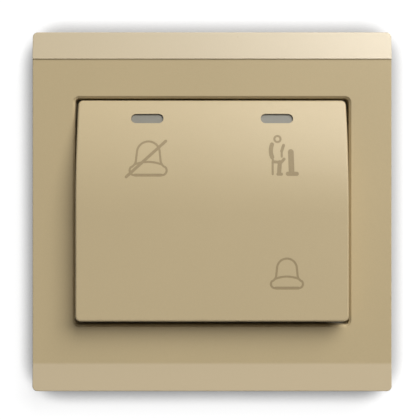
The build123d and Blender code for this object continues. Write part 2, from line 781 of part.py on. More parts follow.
# Circuit board with a hole for each lead, pin and screw
with BuildPart() as circuit_board:
    board_y = (board_front_y, board_back_y)
    bar((-board_half_width, board_half_width), board_y, (board_bottom, board_top))
    for side in (1, -1):
        rod(side * board_screw_x, board_screw_z, board_screw_radius + clear_gap, board_y, mode=Mode.SUBTRACT)
        for lead in (-led_lead_pitch / 2, led_lead_pitch / 2):
            rod(side * window_x + lead, window_z, led_lead_radius + pin_gap, board_y, mode=Mode.SUBTRACT)
        for place, length in ((resistor_place, resistor_length), (diode_place, diode_length)):
            for end in (-length / 2 - lead_reach, length / 2 + lead_reach):
                rod(side * place[0] + end, place[1], lead_radius + pin_gap, board_y, mode=Mode.SUBTRACT)
    for x in lamp_terminal_x:
        rod(x, board_pin_z, board_pin_radius + pin_gap, board_y, mode=Mode.SUBTRACT)
save(circuit_board.part, "circuit_board")

# Screws that hold the board on the cover's posts
with BuildPart() as board_screws:
    for x in (-board_screw_x, board_screw_x):
        head_back_y = board_back_y + board_screw_head_height
        rod(x, board_screw_z, board_screw_radius, (board_front_y - board_screw_reach, board_back_y))
        rod(x, board_screw_z, board_screw_head_radius, (board_back_y, head_back_y))
        slot_x = (x - board_screw_head_radius, x + board_screw_head_radius)
        slot_y = (head_back_y - screw_slot_depth, head_back_y)
        slot_z = (board_screw_z - screw_slot_width / 2, board_screw_z + screw_slot_width / 2)
        bar(slot_x, slot_y, slot_z, mode=Mode.SUBTRACT)
save(board_screws.part, "board_screws")


def coil_points(x, z, y_start, y_end):
    """Points and directions along a spring's helix, two for each turn."""
    steps = 2 * spring_turns
    rise = (y_end - y_start) / steps
    stations = []
    for step in range(steps + 1):
        angle = pi * step
        place = Vector(x + spring_radius * cos(angle), y_start + rise * step, z)
        direction = Vector(0, rise / pi, spring_radius * cos(angle)).normalized()
        stations.append((place, direction))
    return stations


def biarc_joint(first, second):
    """Where the two arcs of a half turn meet, and the direction that they share there."""
    (p0, t0), (p1, t1) = first, second
    v = p1 - p0
    spread = 2 * (1 - t0.dot(t1))
    lean = v.dot(t0 + t1)
    reach = (-lean + sqrt(lean**2 + spread * v.dot(v))) / spread
    return (p0 + p1 + (t0 - t1) * reach) * 0.5, (v - (t0 + t1) * reach).normalized()


def least_turn_gap(wire_path, samples):
    """The least clear distance between points that lie more than a third of a turn apart."""
    points = [wire_path.position_at(step / samples) for step in range(samples + 1)]
    apart = samples // (3 * spring_turns)
    least = min((a - b).length for i, a in enumerate(points) for b in points[i + apart :])
    return least - 2 * spring_wire_radius


# Return springs: one wire in two arcs for each half turn, between carrier and cup
spring_front_y = carrier_back_y + spring_wire_radius + snap_gap
spring_back_y = spring_seat_y - spring_wire_radius - snap_gap
for name, x in (("left", -spring_x), ("right", spring_x)):
    stations = coil_points(x, spring_z, spring_front_y, spring_back_y)
    wire = 2 * spring_wire_radius
    with BuildPart() as return_spring:
        with BuildLine() as path:
            start, start_direction = stations[0]
            Line(start - start_direction * wire, start)
            for first, second in zip(stations, stations[1:]):
                joint, joint_direction = biarc_joint(first, second)
                TangentArc(first[0], joint, tangent=first[1])
                TangentArc(joint, second[0], tangent=joint_direction)
            end, end_direction = stations[-1]
            Line(end, end + end_direction * wire)
        with BuildSketch(Plane(origin=start - start_direction * wire, z_dir=start_direction)):
            Circle(spring_wire_radius)
        sweep(path=path.line)
    save(return_spring.part, f"return_spring_{name}")
wire_gap = least_turn_gap(path.wire(), 480)
print(f"spring: {spring_turns} turns, least gap of the wire to itself {wire_gap:.2f} mm")

# Contact plunger: headed pin in the cover's sleeve, with a domed tail
head_front_y = carrier_back_y + push_gap
head_back_y = head_front_y + plunger_head_height
with BuildPart() as contact_plunger:
    rod(0, plunger_z, plunger_head_radius, (head_front_y, head_back_y))
    rod(0, plunger_z, plunger_radius, (head_front_y, plunger_shoulder_y))
    rod(0, plunger_z, plunger_tail_radius, (plunger_shoulder_y, plunger_tip_y))
    fillet(contact_plunger.edges().filter_by(GeomType.CIRCLE).group_by(Axis.Y)[-1], radius=1.0)
    fillet(contact_plunger.edges().filter_by(GeomType.CIRCLE).group_by(Axis.Y)[0], radius=0.4)
save(contact_plunger.part, "contact_plunger")

# Contact leaf: a bronze blade, riveted at one end
leaf_z = (plunger_z - leaf_width / 2, plunger_z + leaf_width / 2)
with BuildPart() as contact_leaf:
    bar((foot_x, contact_x + leaf_overhang), (leaf_front_y, leaf_back_y), leaf_z)
    fillet(contact_leaf.edges().filter_by(Axis.Y), radius=0.8)
    rod(rivet_x, plunger_z, rivet_radius + pin_gap, (leaf_front_y, leaf_back_y), mode=Mode.SUBTRACT)
save(contact_leaf.part, "contact_leaf")

# Silver contacts: the moving one under the blade, the fixed one on its strip
with BuildPart() as moving_contact:
    rod(contact_x, plunger_z, contact_radius, (leaf_back_y, leaf_back_y + contact_height))
    tip = moving_contact.edges().filter_by(GeomType.CIRCLE).group_by(Axis.Y)[-1]
    fillet(tip, radius=0.4)
save(moving_contact.part, "moving_contact")
with BuildPart() as fixed_contact:
    rod(contact_x, plunger_z, contact_radius, (fixed_contact_y, strip_front_y))
    fillet(fixed_contact.edges().filter_by(GeomType.CIRCLE).group_by(Axis.Y)[0], radius=0.3)
save(fixed_contact.part, "fixed_contact")

# Fixed contact strip: a plate on the front of its terminal
strip_y = (strip_front_y, terminal_front_y)
strip_top = plunger_z + leaf_width / 2
strip_bottom = -terminal_outer_z + 2
with BuildPart() as fixed_contact_strip:
    right_x = bell_terminal_x[1]
    bar((contact_x - 3, right_x + terminal_width / 2), strip_y, (strip_bottom, strip_top))
    fillet(fixed_contact_strip.edges().filter_by(Axis.Y), radius=0.8)
save(fixed_contact_strip.part, "fixed_contact_strip")

# Common strip: bent up from its terminal to the foot under the blade
with BuildPart() as common_strip:
    left_x = bell_terminal_x[0]
    bar((left_x - terminal_width / 2, left_x + terminal_width / 2), strip_y, (strip_bottom, strip_top))
    bar((foot_x, left_x + terminal_width / 2), strip_y, leaf_z)
    bar((foot_x, foot_x + strip_thickness), (leaf_back_y, terminal_front_y), leaf_z)
    bar((foot_x, leaf_fold_x), (leaf_back_y, leaf_back_y + strip_thickness), leaf_z)
    foot_y = (leaf_back_y, leaf_back_y + strip_thickness)
    rod(rivet_x, plunger_z, rivet_radius + pin_gap, foot_y, mode=Mode.SUBTRACT)
save(common_strip.part, "common_strip")

# Leaf rivet through blade and foot
with BuildPart() as leaf_rivet:
    rod(rivet_x, plunger_z, rivet_radius, (leaf_front_y, foot_y[1]))
    rod(rivet_x, plunger_z, rivet_head_radius, (leaf_front_y - rivet_head_height, leaf_front_y))
    rod(rivet_x, plunger_z, rivet_head_radius, (foot_y[1], foot_y[1] + rivet_head_height))
save(leaf_rivet.part, "leaf_rivet")

# Terminals: brass pillars with a wire bore along Z and a clamping screw from behind
terminals = [
    ("terminal_lamp_left", lamp_terminal_x[0], 1),
    ("terminal_lamp_common", lamp_terminal_x[1], 1),
    ("terminal_lamp_right", lamp_terminal_x[2], 1),
    ("terminal_bell_common", bell_terminal_x[0], -1),
    ("terminal_bell_out", bell_terminal_x[1], -1),
]
for name, x, side in terminals:
    z = side * terminal_z
    with BuildPart() as terminal:
        half = terminal_width / 2
        block_z = (z - terminal_length / 2, z + terminal_length / 2)
        bar((x - half, x + half), (terminal_front_y, terminal_back_y), block_z)
        chamfer(terminal.edges().filter_by(Axis.Z), length=0.4)
        with Locations((x, wire_bore_y, z)):
            Cylinder(wire_bore_radius, terminal_length, mode=Mode.SUBTRACT)
        rod(x, z, clamp_screw_radius + pin_gap, (wire_bore_y, terminal_back_y), mode=Mode.SUBTRACT)
    save(terminal.part, name)

clamp_tip_y = wire_bore_y + wire_bore_radius + clamp_tip_gap
clamp_head_y = terminal_back_y + module_gap
with BuildPart() as terminal_screws:
    for name, x, side in terminals:
        z = side * terminal_z
        rod(x, z, clamp_screw_radius, (clamp_tip_y, clamp_head_y))
        rod(x, z, clamp_head_radius, (clamp_head_y, clamp_head_y + clamp_head_height))
        slot_x = (x - clamp_head_radius, x + clamp_head_radius)
        slot_y = (clamp_head_y + clamp_head_height - screw_slot_depth, clamp_head_y + clamp_head_height)
        bar(slot_x, slot_y, (z - screw_slot_width / 2, z + screw_slot_width / 2), mode=Mode.SUBTRACT)
save(terminal_screws.part, "terminal_screws")

# Module base: the rear shell with terminal pockets, wire entries and screw ears
with BuildPart() as module_base:
    half_w = module_half_width
    bar((-half_w, half_w), (cover_back_y, base_back_y), (-base_half_height, base_half_height))
    fillet(module_base.edges().filter_by(Axis.Y), radius=base_corner_radius)
    fillet(module_base.edges().group_by(Axis.Y)[-1], radius=base_edge_radius)
    # A shallow bare field for a rating label, and a groove as long as a wire is stripped
    with BuildSketch(facing(base_back_y)):
        RectangleRounded(label_width, label_height, label_corner_radius)
        with Locations((0, -gauge_drop)):
            SlotOverall(terminal_length, gauge_width)
    extrude(amount=label_depth, mode=Mode.SUBTRACT)
    inner_w = base_inner_width
    inner_h = base_inner_height
    bar((-inner_w, inner_w), (cover_back_y, base_floor_y), (-inner_h, inner_h), mode=Mode.SUBTRACT)
    for name, x, side in terminals:
        half = terminal_width / 2 + clear_gap
        inner_z = side * (terminal_outer_z - terminal_length - clear_gap)
        outer = half + pocket_wall
        pocket_y = (terminal_front_y + pocket_setback, base_floor_y)
        bar((x - outer, x + outer), pocket_y, (inner_z - side * pocket_wall, side * inner_h))
        bar((x - half, x + half), pocket_y, (inner_z, side * inner_h), mode=Mode.SUBTRACT)
    for name, x, side in terminals:
        with Locations((x, wire_bore_y, side * (base_half_height + inner_h) / 2)):
            Cylinder(wire_entry_radius, base_wall + clear_gap, mode=Mode.SUBTRACT)
        rod(x, side * terminal_z, clamp_access_radius, (base_floor_y, base_back_y), mode=Mode.SUBTRACT)
    for x in (-housing_screw_x, housing_screw_x):
        for side in (1, -1):
            ear_y = (cover_back_y, cover_back_y + housing_ear_thickness)
            ear_x = (x - housing_ear_width / 2, x + housing_ear_width / 2)
            bar(ear_x, ear_y, (side * inner_h, side * flange_half_height))
            rod(x, side * housing_screw_z, housing_screw_radius + clear_gap, ear_y, mode=Mode.SUBTRACT)
    # The ears end at the shell's inner face
    bar((-inner_w, inner_w), ear_y, (-inner_h, inner_h), mode=Mode.SUBTRACT)
save(module_base.part, "module_base")

# Housing screws: through base and cover into the yoke's bosses
with BuildPart() as housing_screws:
    seat_y = cover_back_y + housing_ear_thickness
    for x in (-housing_screw_x, housing_screw_x):
        for z in (-housing_screw_z, housing_screw_z):
            rod(x, z, housing_screw_radius, (housing_screw_tip_gap - yoke_rim_height, seat_y))
            rod(x, z, housing_head_radius, (seat_y, seat_y + housing_head_height))
    crown = housing_screws.edges().filter_by(GeomType.CIRCLE).group_by(Axis.Y)[-1]
    fillet(crown, radius=housing_head_crown)
    head_top_y = seat_y + housing_head_height
    recess_y = (head_top_y - small_cross_depth, head_top_y)
    arm = (small_cross_length / 2, small_cross_width / 2)
    for x in (-housing_screw_x, housing_screw_x):
        for z in (-housing_screw_z, housing_screw_z):
            for along, across in (arm, arm[::-1]):
                bar((x - along, x + along), recess_y, (z - across, z + across), mode=Mode.SUBTRACT)
save(housing_screws.part, "housing_screws")

travel = (pivot_z - key_bottom) * tan(radians(press_angle))
slope = face_slope * 180 / pi
print(f"key: face slope {slope:.1f} degrees at the top, {travel:.2f} mm travel at the bottom edge")
plunger_ratio = (pivot_z - plunger_z) / 1000
print(f"plunger: {plunger_ratio:.4f} m per radian, leaf ratio {plunger_ratio * 1000 / -leaf_fold_x:.4f}")
print(f"fixed contact at y {fixed_contact_y:.3f}, strip at {strip_front_y:.3f}")
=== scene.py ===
import json
from math import cos, pi, radians, sin, sqrt, tan

import bmesh
import bpy
from mathutils import Matrix, Vector


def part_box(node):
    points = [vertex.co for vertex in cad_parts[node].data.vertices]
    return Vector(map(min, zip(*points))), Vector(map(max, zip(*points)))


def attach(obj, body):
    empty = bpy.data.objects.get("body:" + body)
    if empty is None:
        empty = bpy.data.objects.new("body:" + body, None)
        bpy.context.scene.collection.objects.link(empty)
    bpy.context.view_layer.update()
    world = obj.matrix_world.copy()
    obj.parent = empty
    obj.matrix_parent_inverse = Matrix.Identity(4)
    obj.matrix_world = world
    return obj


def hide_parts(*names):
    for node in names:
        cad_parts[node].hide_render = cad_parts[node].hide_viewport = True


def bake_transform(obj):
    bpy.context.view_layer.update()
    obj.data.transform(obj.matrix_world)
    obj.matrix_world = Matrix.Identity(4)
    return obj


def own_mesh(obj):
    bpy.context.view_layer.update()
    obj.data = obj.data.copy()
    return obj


# Looks of the bell push in metres: X right, Z up, the front faces -Y and the wall is y = 0

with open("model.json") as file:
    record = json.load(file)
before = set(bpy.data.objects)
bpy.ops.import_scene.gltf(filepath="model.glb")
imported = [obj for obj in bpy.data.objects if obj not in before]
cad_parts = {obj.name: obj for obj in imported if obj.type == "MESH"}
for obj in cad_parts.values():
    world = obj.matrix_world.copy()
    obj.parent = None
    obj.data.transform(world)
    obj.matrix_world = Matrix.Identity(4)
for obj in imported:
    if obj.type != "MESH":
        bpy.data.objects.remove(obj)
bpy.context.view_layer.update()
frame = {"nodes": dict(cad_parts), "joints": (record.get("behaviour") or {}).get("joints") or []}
nodes = frame["nodes"]
scene = bpy.context.scene
mm = 0.001

# Camera, as the photograph was framed: lens and sensor in millimetres, the plate's centre in pixels
camera_distance = 208 * mm
camera_lens = 71.6
sensor_width = 36
nearest_seen = 5 * mm
image_width = 420
plate_centre_px = (212.05, 211.5)

# Lamps: directions are azimuth and elevation in degrees, powers are in watts
key_direction = (33, 37)
key_distance = 1.6
key_size = 1.28
key_power = 36.2
fill_direction = (-10, -25)
fill_distance = 0.6
fill_size = 0.5
fill_power = 0.2
rear_directions = ((150, 35), (-145, 15))
rear_distance = 0.6
rear_size = 0.25
rear_power = 1.8

# Room: the light that it throws, and how bright it is where it is seen
ambient_level = 0.1
backdrop_level = 0.6

# Wall, as white as the photograph's, with a soft contact shadow round the plate, painted into its glow
wall_glow = 0.85
wall_paint = (136, 136, 136)
plaster_size = 40 * mm
contact_shadow_reach = 8.0 * mm
contact_shadow_level = 0.33
contact_shadow_span = (0.64, 0.88)
contact_shadow_samples = 16
wall_half = 1.5
wall_box_half = 42.7 * mm

# Colours in 8-bit sRGB. The gold, the windows and the pictograms' painted groove shade are as they show in
# the photograph
gold_colour = (184, 166, 129)
# The lower strip's paler, whiter gold is a painted reflection
lower_strip_painted_reflection_colour = (197, 180, 148)
lens_colour = (124, 121, 110)
# The pictograms' darker bronze is painted shade on the floors of their engraved grooves
groove_shade_colour = (151, 133, 98)
yoke_colour = (196, 188, 168)
housing_colour = (222, 219, 210)
carrier_colour = (226, 223, 214)
steel_colour = (178, 178, 174)
brass_colour = (205, 172, 100)
bronze_colour = (196, 140, 90)
silver_colour = (222, 222, 220)
board_colour = (28, 92, 52)
led_colour = (222, 222, 212)
component_colour = (84, 72, 60)
clear_colour = (225, 232, 232)

# Gold paint: its flakes, the orange peel of its surface, and how far its tones blur into each other
flake_size = 0.11 * mm
flake_brightness = 1.5
gold_cloud_size = 24 * mm
peel_size = 0.9 * mm
peel_depth = 0.004 * mm
lip_blur = 0.3 * mm
crest_blur = 0.05 * mm
side_blur = 0.1 * mm

# Other materials: how large their marks are, and how deep where they stand out
plastic_cloud_size = 9 * mm
plastic_grain_size = 0.35 * mm
plastic_grain_depth = 0.012 * mm
groove_shade_blot_size = 0.5 * mm
groove_shade_blot_depth = 0.01 * mm
tarnish_size = 1.6 * mm
turning_mark_size = 0.25 * mm
wire_mark_size = 0.12 * mm
metal_mark_depth = 0.006 * mm
haze_size = 1.5 * mm
haze_depth = 0.004 * mm
flow_mark_size = 2.5 * mm
flow_mark_depth = 0.004 * mm
board_cloud_size = 3 * mm
weave_size = 1.2 * mm
weave_depth = 0.01 * mm
weave_strength = 0.4

# The frame's two strips, as wide as in the model, and how far back from its front it counts as front
plate_low, plate_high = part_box("frame_plate")
top_strip_width = 6.45 * mm
bottom_strip_width = 6.6 * mm
strips_z = (plate_low.z + bottom_strip_width, plate_high.z - top_strip_width)
front_end_y = plate_low.y + 1.0 * mm

# Screws with the threads that the model leaves out, in millimetres and as large as in the model.
# Head: radius, height, crown. Neck: radius, length. Thread: radius, depth, pitch.
# Cross or slot: length, width, depth
screw_sizes = {
    "fixing_screws": {
        "head": (3.8, 2.4, 0.9),
        "neck": (1.7, 2.1),
        "thread": (2.0, 0.43, 0.7),
        "cross": (4.4, 0.9, 1.2),
    },
    "housing_screws": {
        "head": (2.6, 1.8, 0.6),
        "neck": (1.2, 0.9),
        "thread": (1.45, 0.35, 1.1),
        "cross": (3.0, 0.6, 1.0),
    },
    "terminal_screws": {
        "head": (2.2, 1.5, 0.2),
        "neck": (1.25, 0.3),
        "thread": (1.55, 0.3, 0.5),
        "slot": (4.6, 0.8, 0.8),
    },
}
turning_steps = 36
rows_per_turn = 8
crown_steps = 6
sharp_edge_deg = 35

# Threads: the steepness of their flanks, what flattens their roots, how many turns they take to run out,
# and how far the tip is set in, as a share of their depth
flank_slope = 1.5
root_flat = 0.2
run_out_turns = 1.5
tip_inset = 1.3

# Recesses: their width at the bottom as a share of that at the top, and how far outside the head they start
recess_taper = 0.7
recess_start = 0.1 * mm

# The contact blade is cut across over this length from where it leaves its rivet
blade_bend = 8.0 * mm
blade_cuts = 8


def linear(colour, factor=1.0):
    """An 8-bit sRGB colour as linear RGBA."""
    channels = []
    for value in colour:
        share = value / 255
        level = share / 12.92 if share <= 0.04045 else ((share + 0.055) / 1.055) ** 2.4
        channels.append(min(level * factor, 1.0))
    return (*channels, 1.0)


class Shader:
    """A node material that is built one node at a time."""

    def __init__(self, name):
        self.material = bpy.data.materials.new(name)
        self.material.use_nodes = True
        self.tree = self.material.node_tree
        self.surface = self.tree.nodes["Principled BSDF"]
        self.place = self.node("ShaderNodeTexCoord").outputs["Object"]

    def node(self, kind, **settings):
        """A node with its settings."""
        made = self.tree.nodes.new(kind)
        for setting, value in settings.items():
            setattr(made, setting, value)
        return made

    def link(self, source, target):
        """A link from one socket to another."""
        self.tree.links.new(source, target)

    def feed(self, socket, source):
        """A socket of the surface that follows a node."""
        self.link(source, self.surface.inputs[socket])

    def set(self, socket, value):
        """A plain value on the surface."""
        self.surface.inputs[socket].default_value = value

    def noise(self, size, detail=3.0):
        """Noise whose features have the given size."""
        made = self.node("ShaderNodeTexNoise")
        made.inputs["Scale"].default_value = 1 / size
        made.inputs["Detail"].default_value = detail
        self.link(self.place, made.inputs["Vector"])
        return made.outputs["Fac"]

    def cells(self, size):
        """A random value for each cell of the given size."""
        made = self.node("ShaderNodeTexVoronoi")
        made.inputs["Scale"].default_value = 1 / size
        self.link(self.place, made.inputs["Vector"])
        parts = self.node("ShaderNodeSeparateColor")
        self.link(made.outputs["Color"], parts.inputs["Color"])
        return parts.outputs["Red"]

    def spread(self, source, low, high, start=0.0, end=1.0):
        """A value moved from one range to another."""
        made = self.node("ShaderNodeMapRange")
        self.link(source, made.inputs["Value"])
        made.inputs["From Min"].default_value = start
        made.inputs["From Max"].default_value = end
        made.inputs["To Min"].default_value = low
        made.inputs["To Max"].default_value = high
        return made.outputs["Result"]

    def above(self, source, place, blur):
        """1 where a value is above a place and 0 where it is below, with a blurred edge."""
        return self.spread(source, 0.0, 1.0, place - blur, place + blur)

    def below(self, source, place, blur):
        """1 where a value is below a place and 0 where it is above, with a blurred edge."""
        return self.spread(source, 1.0, 0.0, place - blur, place + blur)

    def product(self, first, second):
        """Two values multiplied."""
        made = self.node("ShaderNodeMath", operation="MULTIPLY")
        self.link(first, made.inputs[0])
        self.link(second, made.inputs[1])
        return made.outputs[0]

    def mix_colour(self, share, first, second):
        """A colour between two colours or sockets."""
        made = self.node("ShaderNodeMix", data_type="RGBA")
        self.link(share, made.inputs["Factor"])
        for socket, colour in ((made.inputs[6], first), (made.inputs[7], second)):
            if isinstance(colour, tuple):
                socket.default_value = colour
            else:
                self.link(colour, socket)
        return made.outputs[2]

    def tint(self, share, colour, dark, light):
        """A colour that wavers between a darker and a lighter tone of itself."""
        return self.mix_colour(share, linear(colour, dark), linear(colour, light))

    def mix_value(self, share, first, second):
        """A value between two sockets."""
        made = self.node("ShaderNodeMix", data_type="FLOAT")
        self.link(share, made.inputs["Factor"])
        self.link(first, made.inputs[2])
        self.link(second, made.inputs[3])
        return made.outputs[0]

    def bump(self, source, depth, strength=1.0):
        """A relief of the given depth on the surface."""
        made = self.node("ShaderNodeBump")
        made.inputs["Distance"].default_value = depth
        made.inputs["Strength"].default_value = strength
        self.link(source, made.inputs["Height"])
        self.feed("Normal", made.outputs["Normal"])


def moulded(name, colour, roughness=0.5, mottling=0.03):
    """Moulded plastic: a fine spark-eroded grain and a faint cloudiness."""
    shader = Shader(name)
    cloud = shader.noise(plastic_cloud_size, 4.0)
    shader.feed("Base Color", shader.tint(cloud, colour, 1 - mottling, 1 + mottling))
    grains = shader.noise(plastic_grain_size, 2.0)
    shader.feed("Roughness", shader.spread(grains, roughness - 0.06, roughness + 0.06))
    shader.bump(grains, plastic_grain_depth)
    return shader.material


def gold_paint(name, strips=None):
    """Champagne gold paint with fine flakes and a faint orange peel.

    With the inner edges of the frame's two strips, it is paler on the lower strip, a painted reflection,
    lacquered on the front of the upper one, and dull away from the front.
    """
    shader = Shader(name)
    flakes = shader.cells(flake_size)
    cloud = shader.noise(gold_cloud_size, 2.0)
    clouded = shader.tint(cloud, gold_colour, 0.97, 1.03)
    flake_share = shader.spread(flakes, 0.0, 0.10)
    tone = shader.mix_colour(flake_share, clouded, linear(gold_colour, flake_brightness))
    peel = shader.noise(peel_size, 2.0)
    gloss = shader.spread(peel, 0.38, 0.44)
    if strips is not None:
        lip, crest = strips
        split = shader.node("ShaderNodeSeparateXYZ")
        shader.link(shader.place, split.inputs["Vector"])
        height = split.outputs["Z"]
        on_front = shader.below(split.outputs["Y"], front_end_y, side_blur)
        lacquered = shader.product(shader.above(height, crest, crest_blur), on_front)
        # Painted reflection: the lower strip is mixed to a paler, whiter gold
        tone = shader.mix_colour(shader.below(height, lip, lip_blur), tone, linear(lower_strip_painted_reflection_colour))
        gloss = shader.mix_value(lacquered, gloss, shader.spread(peel, 0.26, 0.32))
        gloss = shader.mix_value(on_front, shader.spread(peel, 0.85, 0.95), gloss)
        shader.feed("Coat Weight", lacquered)
        shader.set("Coat IOR", 2.08)
        shader.set("Coat Roughness", 0.5)
        shader.set("Specular IOR Level", 0.25)
    shader.feed("Base Color", tone)
    shader.feed("Roughness", gloss)
    shader.feed("Metallic", shader.spread(flakes, 0.0, 0.08))
    shader.bump(peel, peel_depth)
    return shader.material


def groove_shade(name):
    """Dull bronze painted shade for the pictograms in an engraving's grooves."""
    shader = Shader(name)
    blots = shader.noise(groove_shade_blot_size, 3.0)
    shader.feed("Base Color", shader.tint(blots, groove_shade_colour, 0.88, 1.1))
    shader.feed("Roughness", shader.spread(blots, 0.5, 0.65))
    shader.bump(blots, groove_shade_blot_depth)
    return shader.material


def metal(name, colour, roughness, mark_size=turning_mark_size):
    """Bare or plated metal with fine marks from drawing or turning and a little tarnish."""
    shader = Shader(name)
    tarnish = shader.noise(tarnish_size, 4.0)
    shader.feed("Base Color", shader.tint(tarnish, colour, 0.88, 1.03))
    shader.set("Metallic", 1.0)
    marks = shader.noise(mark_size, 2.0)
    shader.feed("Roughness", shader.spread(marks, roughness - 0.08, roughness + 0.08))
    shader.bump(marks, metal_mark_depth)
    return shader.material


def lens_plastic(name):
    """Hazy grey plastic with a satin front."""
    shader = Shader(name)
    haze = shader.noise(haze_size, 3.0)
    shader.feed("Base Color", shader.tint(haze, lens_colour, 0.94, 1.06))
    shader.feed("Roughness", shader.spread(haze, 0.44, 0.52))
    shader.bump(haze, haze_depth)
    return shader.material


def clear_plastic(name):
    """Clear polished plastic with flow marks."""
    shader = Shader(name)
    flow = shader.noise(flow_mark_size, 2.0)
    shader.feed("Base Color", shader.tint(flow, clear_colour, 0.95, 1.0))
    shader.feed("Roughness", shader.spread(flow, 0.04, 0.1))
    shader.set("Transmission Weight", 0.85)
    shader.set("IOR", 1.49)
    shader.bump(flow, flow_mark_depth)
    return shader.material


def laminate(name):
    """Green solder mask over the weave of the glass cloth."""
    shader = Shader(name)
    weave = shader.node("ShaderNodeTexBrick")
    weave.inputs["Scale"].default_value = 1 / weave_size
    shader.link(shader.place, weave.inputs["Vector"])
    cloud = shader.noise(board_cloud_size, 3.0)
    shader.feed("Base Color", shader.tint(cloud, board_colour, 0.85, 1.15))
    shader.feed("Roughness", shader.spread(cloud, 0.25, 0.35))
    shader.bump(weave.outputs["Fac"], weave_depth, weave_strength)
    return shader.material


def dress(material, *names):
    """Gives CAD nodes their material."""
    for name in names:
        mesh = nodes[name].data
        mesh.materials.clear()
        mesh.materials.append(material)


def dress_everything():
    """Materials of all the nodes."""
    dress(gold_paint("frame_gold", strips_z), "frame_plate")
    dress(gold_paint("key_gold"), "key_cover")
    dress(lens_plastic("window_grey"), "indicator_lens_left", "indicator_lens_right")
    # The pictograms get a darker bronze, painted shade in their grooves
    dress(groove_shade("pictogram_groove_shade"), "pictogram_quiet", "pictogram_service", "pictogram_bell")
    dress(moulded("yoke_plastic", yoke_colour, 0.6), "mounting_yoke")
    dress(moulded("carrier_plastic", carrier_colour, 0.5), "key_carrier", "contact_plunger")
    dress(moulded("housing_plastic", housing_colour, 0.48), "module_base", "module_cover")
    steel = metal("plated_steel", steel_colour, 0.34)
    dress(steel, "fixing_screws", "pivot_pin_left", "pivot_pin_right", "housing_screws")
    dress(steel, "terminal_screws", "board_screws")
    wire = metal("spring_wire", steel_colour, 0.28, wire_mark_size)
    dress(wire, "return_spring_left", "return_spring_right")
    dress(metal("bronze", bronze_colour, 0.3), "contact_leaf")
    dress(metal("silver", silver_colour, 0.25), "moving_contact", "fixed_contact")
    brass = metal("brass", brass_colour, 0.32)
    dress(brass, "leaf_rivet", "common_strip", "fixed_contact_strip", "board_pins")
    dress(brass, "terminal_bell_common", "terminal_bell_out")
    dress(brass, "terminal_lamp_left", "terminal_lamp_common", "terminal_lamp_right")
    dress(laminate("board_green"), "circuit_board")
    dress(moulded("led_epoxy", led_colour, 0.2, 0.02), "led_left", "led_right")
    lacquer = moulded("component_lacquer", component_colour, 0.35, 0.1)
    dress(lacquer, "dropper_resistors", "rectifier_diodes")
    dress(clear_plastic("guide_clear"), "light_guide_left", "light_guide_right")


def new_piece(name, mesh, node):
    """A piece that stands for a CAD node and hides that node."""
    piece = bpy.data.objects.new(name, mesh)
    scene.collection.objects.link(piece)
    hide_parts(node)
    return piece


def thread_profile(turns):
    """Height of a thread's ridge as a share of its depth, at a place counted in turns."""
    flank = abs((turns % 1) * 2 - 1)
    return min(max(flank_slope * flank - root_flat, 0.0), 1.0)


def ring(shape, place, y, radius, ridge=0.0, turns=0.0, hand=1):
    """A ring of points round an axis along Y, with the ridge of a thread on it."""
    row = []
    for step in range(turning_steps):
        share = step / turning_steps
        angle = 2 * pi * share
        reach = radius + ridge * thread_profile(turns + hand * share)
        point = (place[0] + reach * cos(angle), y, place[1] + reach * sin(angle))
        row.append(shape.verts.new(point))
    return row


def add_head(shape, place, head_y, toward, size):
    """Adds the rings of a screw's crowned head and of the neck behind it."""
    radius, height, crown = (value * mm for value in size["head"])
    neck_radius, neck_length = (value * mm for value in size["neck"])
    rows = []
    for step in range(crown_steps + 1):
        turn = pi / 2 * step / crown_steps
        y = head_y + toward * crown * (1 - cos(turn))
        rows.append(ring(shape, place, y, radius - crown * (1 - sin(turn))))
    under_head_y = head_y + toward * height
    rows.append(ring(shape, place, under_head_y, radius))
    rows.append(ring(shape, place, under_head_y, neck_radius))
    rows.append(ring(shape, place, under_head_y + toward * neck_length, neck_radius))
    return rows


def add_thread(shape, place, start_y, tip_y, toward, size):
    """Adds the rings of a right-handed thread, which runs out at both ends."""
    crest, depth, pitch = (value * mm for value in size["thread"])
    turns = abs(tip_y - start_y) / pitch
    rows = []
    for step in range(1, int(turns * rows_per_turn) + 1):
        along = step / rows_per_turn
        swell = min(along, (turns - along) / run_out_turns, 1.0)
        y = start_y + toward * along * pitch
        rows.append(ring(shape, place, y, crest - depth, depth * swell, along, toward))
    rows.append(ring(shape, place, tip_y, crest - tip_inset * depth))
    return rows


def add_screw(shape, place, head_y, tip_y, size):
    """Adds one screw along Y, closed at both ends."""
    toward = 1 if tip_y > head_y else -1
    head_length = (size["head"][1] + size["neck"][1]) * mm
    rows = add_head(shape, place, head_y, toward, size)
    rows += add_thread(shape, place, head_y + toward * head_length, tip_y, toward, size)
    for near, far in zip(rows, rows[1:]):
        for step in range(turning_steps):
            after = (step + 1) % turning_steps
            shape.faces.new((near[step], near[after], far[after], far[step]))
    shape.faces.new(rows[0])
    shape.faces.new(rows[-1])


def recess(name, places, head_y, toward, length, width, depth):
    """Tapered bars that cut one arm of a recess into each screw's head."""
    shape = bmesh.new()
    turn = Matrix.Rotation(-toward * pi / 2, 4, "X")
    stretch = Matrix.Diagonal((length / 2, width / 2, 1, 1))
    squared = Matrix.Rotation(pi / 4, 4, "Z")
    for x, z in places:
        place = Matrix.Translation((x, head_y + toward * (depth - recess_start) / 2, z))
        bmesh.ops.create_cone(
            shape,
            cap_ends=True,
            segments=4,
            radius1=sqrt(2),
            radius2=sqrt(2) * recess_taper,
            depth=depth + recess_start,
            matrix=place @ turn @ stretch @ squared,
        )
    mesh = bpy.data.meshes.new(name)
    shape.to_mesh(mesh)
    shape.free()
    cutter = bpy.data.objects.new(name, mesh)
    scene.collection.objects.link(cutter)
    return cutter


